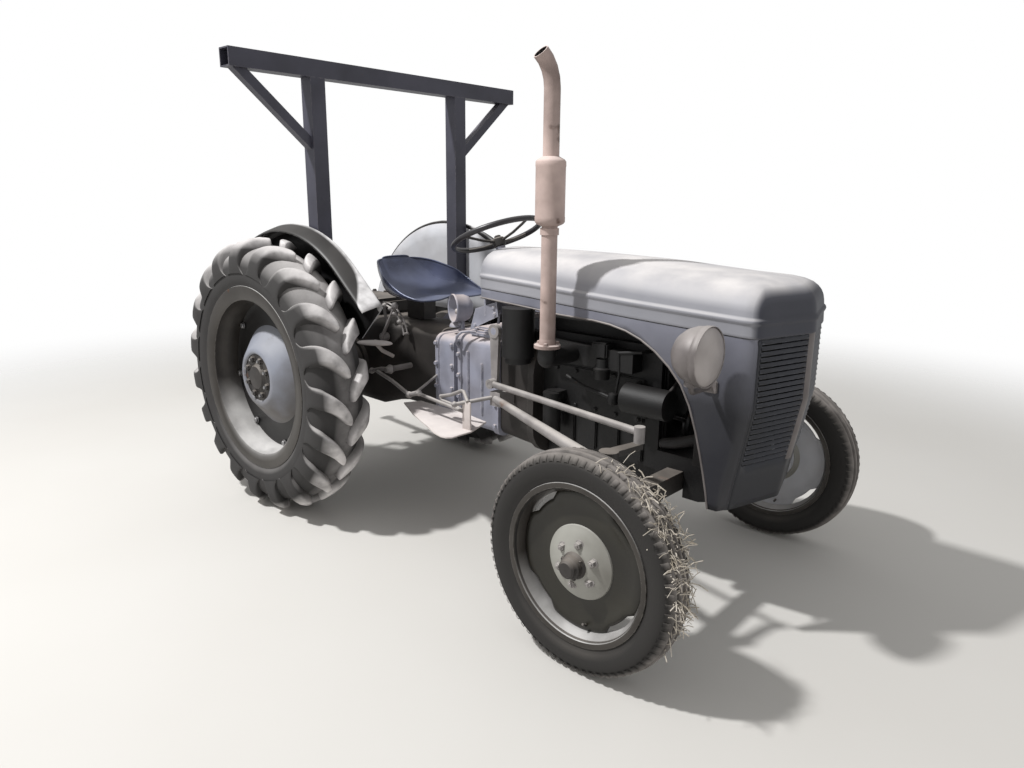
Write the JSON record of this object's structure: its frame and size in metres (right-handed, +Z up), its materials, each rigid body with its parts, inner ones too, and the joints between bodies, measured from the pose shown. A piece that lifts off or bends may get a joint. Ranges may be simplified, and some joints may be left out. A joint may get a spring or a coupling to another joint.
{
  "type": "farm tractor",
  "caption": "Compact utility farm tractor with a forward-folding bonnet, open engine, bare pan seat, lugged rear tyres and a square-tube roll bar.",
  "frame": {"origin": "on the ground, in the middle of the length and width", "axes": "+X forward, +Y to the driver's left, +Z up"},
  "size_m": [2.918, 1.58, 1.925],
  "materials": {
    "bonnet_paint": "dusty pale grey paint",
    "nose_paint": "dark shaded grey-blue paint",
    "casting_paint": "light blue-grey paint with dust",
    "engine_iron": "oily dark iron",
    "axle_iron": "dusty iron",
    "rod_steel": "pale dusty steel",
    "exhaust_steel": "dusty rusted pipe",
    "fender_paint": "dusty grey paint",
    "bar_paint": "dark purple-grey paint",
    "wheel_centre": "light grey disc",
    "front_disc": "olive brown disc",
    "rubber": "dusty rubber",
    "seat_paint": "glossy blue-black",
    "grip_black": "worn black rim",
    "lamp_shell": "dusty lamp shell",
    "tank_paint": "dull grey"
  },
  "bodies": {
    "chassis": {"engine": "engine_iron", "gearbox": "casting_paint", "rear_housing": "casting_paint", "axle_trumpets": "axle_iron", "front_support": "engine_iron", "axle_beam": "axle_iron", "radius_rods": "rod_steel", "steering_box": "casting_paint", "dash_panel": "casting_paint", "radiator": "tank_paint", "fuel_tank": "tank_paint", "air_cleaner": "engine_iron", "oil_filter": "engine_iron", "dynamo": "engine_iron", "exhaust_manifold": "engine_iron", "exhaust_stack": "exhaust_steel", "work_lamp": "lamp_shell", "fenders": "fender_paint", "seat_pan": "seat_paint", "seat_spring": "axle_iron", "roll_posts": "bar_paint", "roll_beam": "bar_paint", "roll_braces": "bar_paint", "step_plates": "axle_iron", "pedals": "axle_iron", "hitch_fittings": "axle_iron"},
    "rear_left": {"rear_wheel_left": "wheel_centre", "rear_tyre_left": "rubber"},
    "rear_right": {"rear_wheel_right": "wheel_centre", "rear_tyre_right": "rubber"},
    "knuckle_left": {"knuckle_left": "axle_iron"},
    "knuckle_right": {"knuckle_right": "axle_iron"},
    "front_left": {"front_wheel_left": "front_disc", "front_tyre_left": "rubber"},
    "front_right": {"front_wheel_right": "front_disc", "front_tyre_right": "rubber"},
    "steering_wheel": {"steering_wheel": "grip_black"},
    "drop_left": {"drop_arm_left": "rod_steel"},
    "drop_right": {"drop_arm_right": "rod_steel"},
    "drag_left": {"drag_link_left": "rod_steel"},
    "drag_right": {"drag_link_right": "rod_steel"},
    "bonnet": {"hood_top": "bonnet_paint", "nose_panel": "nose_paint", "headlamp": "lamp_shell"},
    "lift_arms": {"lift_arms": "axle_iron"},
    "lift_rods": {"lift_rods": "rod_steel"},
    "lower_links": {"lower_links": "rod_steel"}
  },
  "joints": [
    {"name": "rear_left_spin", "type": "hinge", "parent": "chassis", "child": "rear_left", "pos_m": [-0.679, 0.61, 0.605], "axis": [0, 1, 0], "continuous": true},
    {"name": "rear_right_spin", "type": "hinge", "parent": "chassis", "child": "rear_right", "pos_m": [-0.679, -0.61, 0.605], "axis": [0, 1, 0], "continuous": true},
    {"name": "steer_left", "type": "hinge", "parent": "chassis", "child": "knuckle_left", "pos_m": [1.099, 0.545, 0.5], "axis": [0, 0, 1], "range_deg": [-35, 35]},
    {"name": "steer_right", "type": "hinge", "parent": "chassis", "child": "knuckle_right", "pos_m": [1.099, -0.545, 0.5], "axis": [0, 0, 1], "range_deg": [-35, 35]},
    {"name": "front_left_spin", "type": "hinge", "parent": "knuckle_left", "child": "front_left", "pos_m": [1.099, 0.66, 0.342], "axis": [0, 1, 0], "continuous": true},
    {"name": "front_right_spin", "type": "hinge", "parent": "knuckle_right", "child": "front_right", "pos_m": [1.099, -0.66, 0.342], "axis": [0, 1, 0], "continuous": true},
    {"name": "steering_turn", "type": "hinge", "parent": "chassis", "child": "steering_wheel", "pos_m": [0.116, 0, 1.23], "axis": [-0.3907, 0, 0.9205], "range_deg": [-421, 421]},
    {"name": "bonnet_tilt", "type": "hinge", "parent": "chassis", "child": "bonnet", "pos_m": [1.306, 0, 0.45], "axis": [0, 1, 0], "range_deg": [0, 70]},
    {"name": "lower_link_lift", "type": "hinge", "parent": "chassis", "child": "lower_links", "pos_m": [-0.739, 0, 0.4], "axis": [0, 1, 0], "range_deg": [-6, 30]},
    {"name": "lift_arm_turn", "type": "hinge", "parent": "chassis", "child": "lift_arms", "pos_m": [-0.809, 0, 0.87], "axis": [0, 1, 0], "range_deg": [-7.82, 37.1]},
    {"name": "lift_rod_turn", "type": "hinge", "parent": "lift_arms", "child": "lift_rods", "pos_m": [-1.063, 0, 0.778], "axis": [0, 1, 0], "range_deg": [-45, 9.5]},
    {"name": "drop_left_turn", "type": "hinge", "parent": "chassis", "child": "drop_left", "pos_m": [0.326, 0.226, 0.88], "axis": [0, 1, 0], "range_deg": [-22.08, 22.08]},
    {"name": "drag_left_turn", "type": "hinge", "parent": "drop_left", "child": "drag_left", "pos_m": [0.326, 0.247, 0.674], "axis": [0, 1, 0], "range_deg": [-22.08, 22.08]},
    {"name": "drop_right_turn", "type": "hinge", "parent": "chassis", "child": "drop_right", "pos_m": [0.326, -0.226, 0.88], "axis": [0, 1, 0], "range_deg": [-22.08, 22.08]},
    {"name": "drag_right_turn", "type": "hinge", "parent": "drop_right", "child": "drag_right", "pos_m": [0.326, -0.247, 0.674], "axis": [0, 1, 0], "range_deg": [-22.08, 22.08]}
  ],
  "couplings": [
    {"joint": "steer_right", "follows": "steer_left", "ratio": 1},
    {"joint": "steering_turn", "follows": "steer_left", "ratio": 12},
    {"joint": "drop_left_turn", "follows": "steer_left", "ratio": -0.6165},
    {"joint": "drag_left_turn", "follows": "steer_left", "ratio": 0.6165},
    {"joint": "drop_right_turn", "follows": "steer_left", "ratio": 0.6165},
    {"joint": "drag_right_turn", "follows": "steer_left", "ratio": -0.6165},
    {"joint": "lift_arm_turn", "follows": "lower_link_lift", "ratio": 1.22},
    {"joint": "lift_rod_turn", "follows": "lower_link_lift", "ratio": -1.475}
  ]
}
